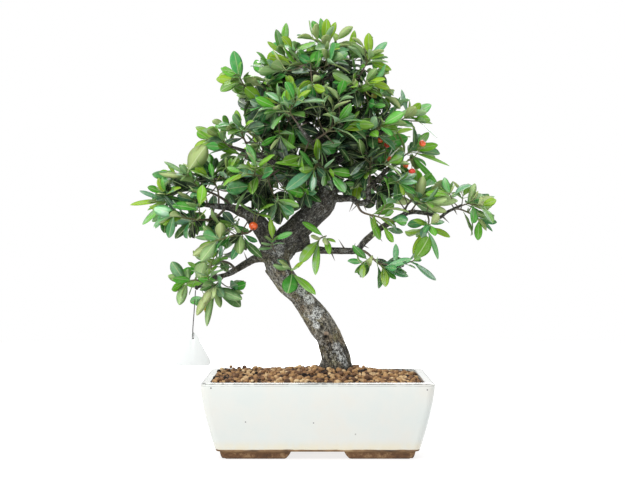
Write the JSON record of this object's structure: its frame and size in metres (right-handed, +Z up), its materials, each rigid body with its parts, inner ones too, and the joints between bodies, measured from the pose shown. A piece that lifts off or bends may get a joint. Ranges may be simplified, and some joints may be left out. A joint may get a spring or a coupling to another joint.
{
  "type": "firethorn bonsai",
  "caption": "Leaning firethorn bonsai with leafy shoots and orange-red berries, in a rectangular glazed pot on four corner feet.",
  "frame": {"origin": "middle of the outer box, at the level of the surface that the feet stand on", "axes": "+Z up, +X to the right along the pot's long side as seen from the front, +Y to the back"},
  "size_m": [0.4232, 0.267, 0.4917],
  "materials": {
    "glaze": "gloss",
    "soil": "matte",
    "screen": "matte",
    "bark": "matte",
    "leaf": "satin",
    "bright_leaf": "satin",
    "pale_leaf": "satin",
    "berry": "satin",
    "card": "satin",
    "thread": "matte"
  },
  "bodies": {
    "root": {"pot": "glaze", "screen_left": "screen", "screen_right": "screen", "soil": "soil", "wood": "bark", "tag": "card", "thread": "thread", "berries_left": "berry", "berries_right": "berry", "berries_far_right": "berry", "low_left_tip": "leaf", "low_left_fork": "leaf", "low_left_mid": "bright_leaf", "low_left_back": "leaf", "left_tip": "pale_leaf", "left_rise": "leaf", "left_front": "leaf", "left_back": "bright_leaf", "left_mid_up": "leaf", "left_inner_up": "pale_leaf", "left_inner_low": "leaf", "mid_left": "leaf", "up_left_tip": "bright_leaf", "up_left_mid": "leaf", "up_left_front": "pale_leaf", "up_left_back": "leaf", "up_left_low": "leaf", "top_left_tip": "bright_leaf", "top_left_low": "leaf", "top_left_mid": "pale_leaf", "top_left_high": "leaf", "apex": "leaf", "apex_right": "bright_leaf", "top_right_tip": "leaf", "top_right_front": "pale_leaf", "top_right_back": "leaf", "top_front_high": "leaf", "top_back_high": "bright_leaf", "top_front_tip": "leaf", "top_front_right": "pale_leaf", "top_front_low": "leaf", "top_back_left": "leaf", "top_back_tip": "bright_leaf", "top_back_right": "leaf", "crown_right_tip": "pale_leaf", "crown_right_front": "leaf", "crown_right_back": "leaf", "right_rise_tip": "bright_leaf", "right_thin": "leaf", "right_drop": "pale_leaf", "right_fan": "leaf", "right_end": "leaf", "right_tip": "bright_leaf", "right_hang": "leaf", "right_down": "pale_leaf", "right_back": "leaf", "back_left": "leaf", "back_right": "bright_leaf", "trunk_low": "leaf", "trunk_mid": "pale_leaf"}
  },
  "joints": []
}
